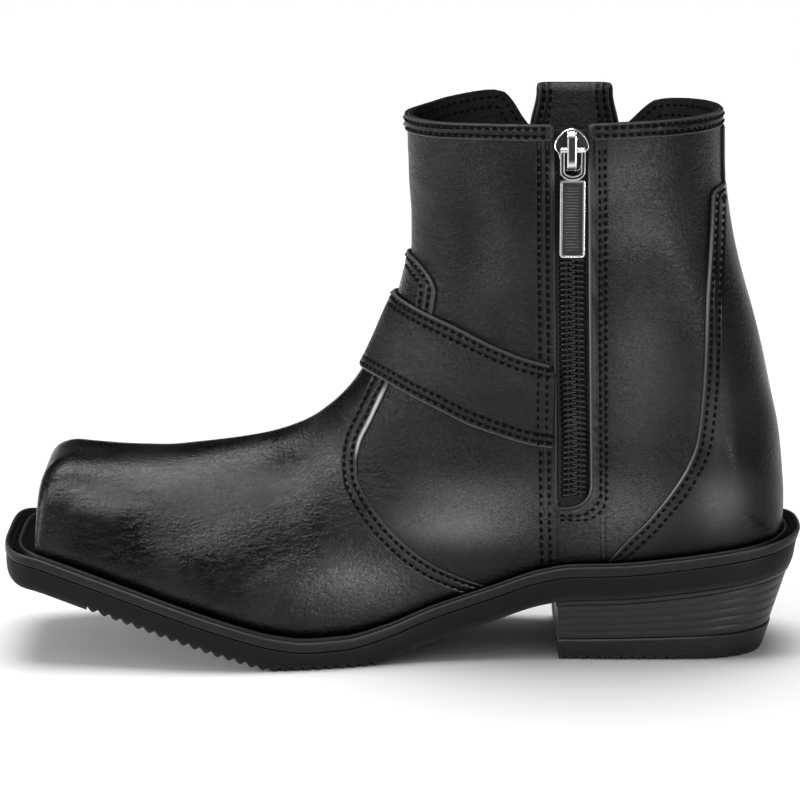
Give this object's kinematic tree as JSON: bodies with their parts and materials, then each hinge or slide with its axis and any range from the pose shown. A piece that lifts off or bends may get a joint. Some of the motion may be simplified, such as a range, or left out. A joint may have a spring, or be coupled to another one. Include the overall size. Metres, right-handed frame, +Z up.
{
  "type": "motorcycle boot",
  "caption": "Low black leather motorcycle boot with square toe, inner side zip, instep strap, welted ribbed sole and underslung stacked heel.",
  "frame": {"origin": "centre of the bounding box, on the floor", "axes": "+X forward to the toe, +Y to the inner side with the zip, +Z up"},
  "size_m": [0.3058, 0.11, 0.2122],
  "materials": {
    "black_leather": "semi-gloss, fine grain",
    "insole_leather": "matt",
    "welt_leather": "satin, worn edge",
    "heel_leather": "satin, stacked layers",
    "sole_rubber": "matt",
    "tape": "woven",
    "zip_metal": "polished gunmetal"
  },
  "bodies": {
    "boot": {"upper": "black_leather", "vamp": "black_leather", "counter": "black_leather", "back_stay": "black_leather", "top_band": "black_leather", "strap": "black_leather", "pull_loop": "black_leather", "zip_tape": "tape", "zip_coil": "zip_metal", "zip_slider": "zip_metal", "insole": "insole_leather", "welt": "welt_leather", "outsole": "sole_rubber", "heel_rand": "heel_leather", "heel_stack": "heel_leather", "top_lift": "sole_rubber"},
    "zip_pull": {"zip_pull": "zip_metal"}
  },
  "joints": [
    {"name": "pull_hinge", "type": "hinge", "parent": "boot", "child": "zip_pull", "pos_m": [-0.0618, 0.051, 0.198], "axis": [1, 0, 0], "range_deg": [0, 170]}
  ]
}
